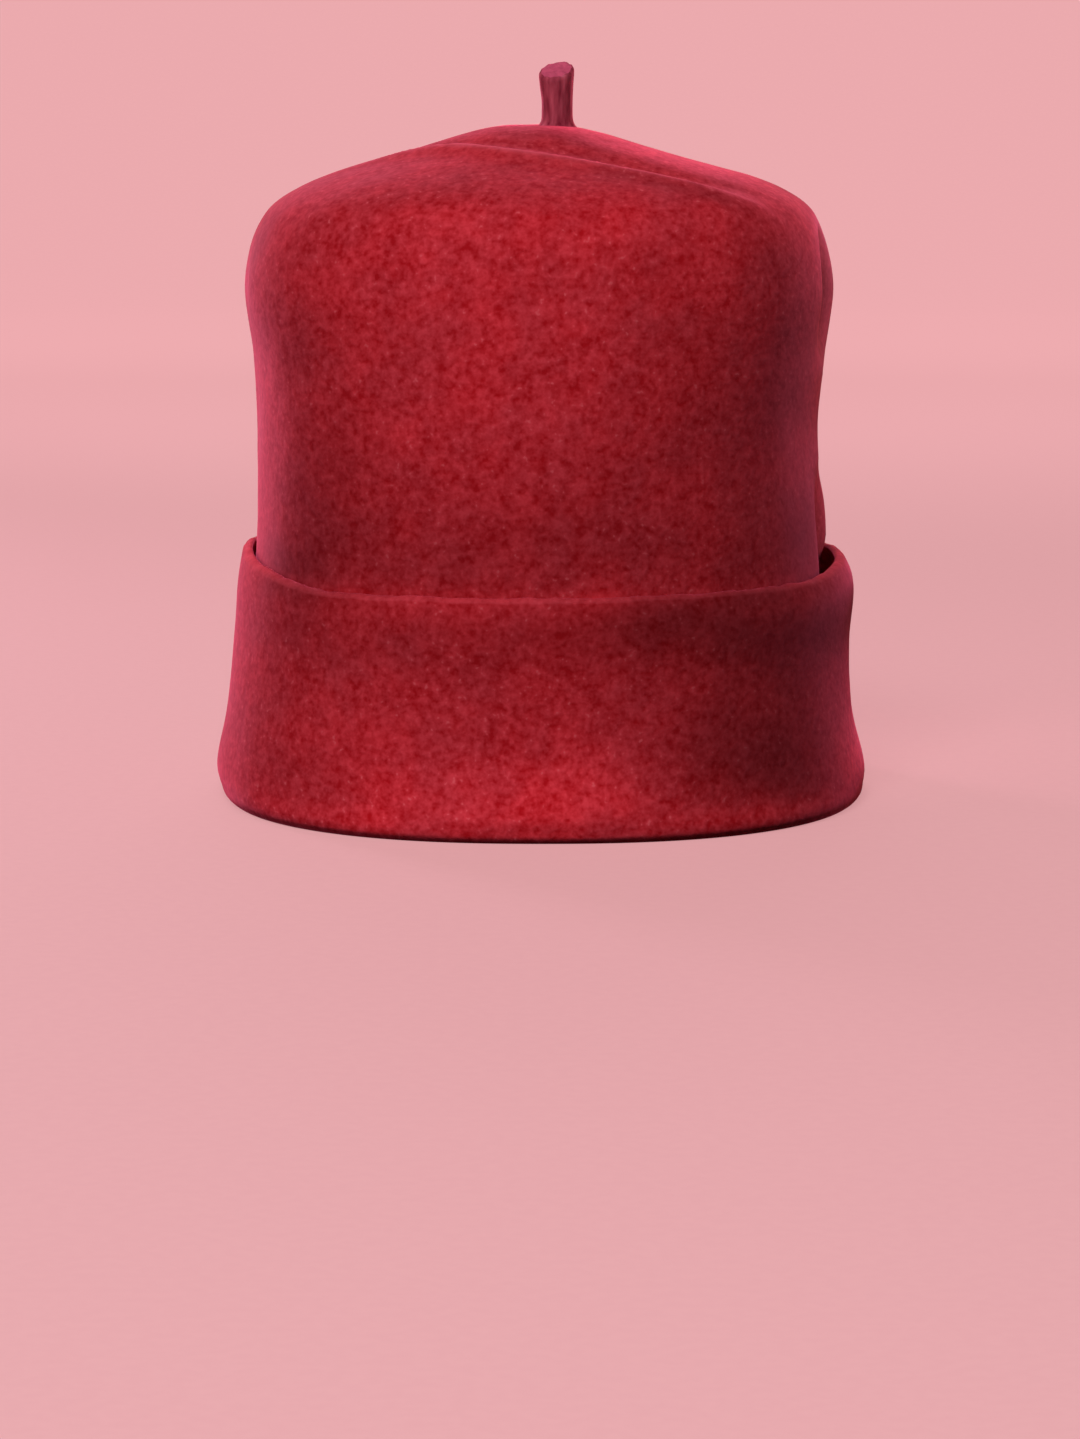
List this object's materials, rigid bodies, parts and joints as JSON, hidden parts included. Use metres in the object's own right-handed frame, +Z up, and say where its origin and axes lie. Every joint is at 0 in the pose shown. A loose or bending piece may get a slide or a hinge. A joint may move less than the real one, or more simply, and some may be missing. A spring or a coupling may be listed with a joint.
{
  "type": "igbo chieftaincy cap",
  "caption": "Tall brimless felt cap: a crown with a soft crease across its top and a dented side, a wide turned-up cuff, an open hollow for the head, and a short felt stalk on top.",
  "frame": {"origin": "on the surface that the rim rests on, below the middle of the cap's bounding box", "axes": "+Z is up through the crown, -Y is the front over the forehead, +X is the wearer's left"},
  "size_m": [0.1782, 0.2108, 0.1986],
  "materials": {
    "red_felt": "matte pressed wool felt with a short nap",
    "stalk_felt": "matte dense felt, cut flat at the top"
  },
  "bodies": {
    "root": {"felt_body": "red_felt", "stalk": "stalk_felt"}
  },
  "joints": []
}
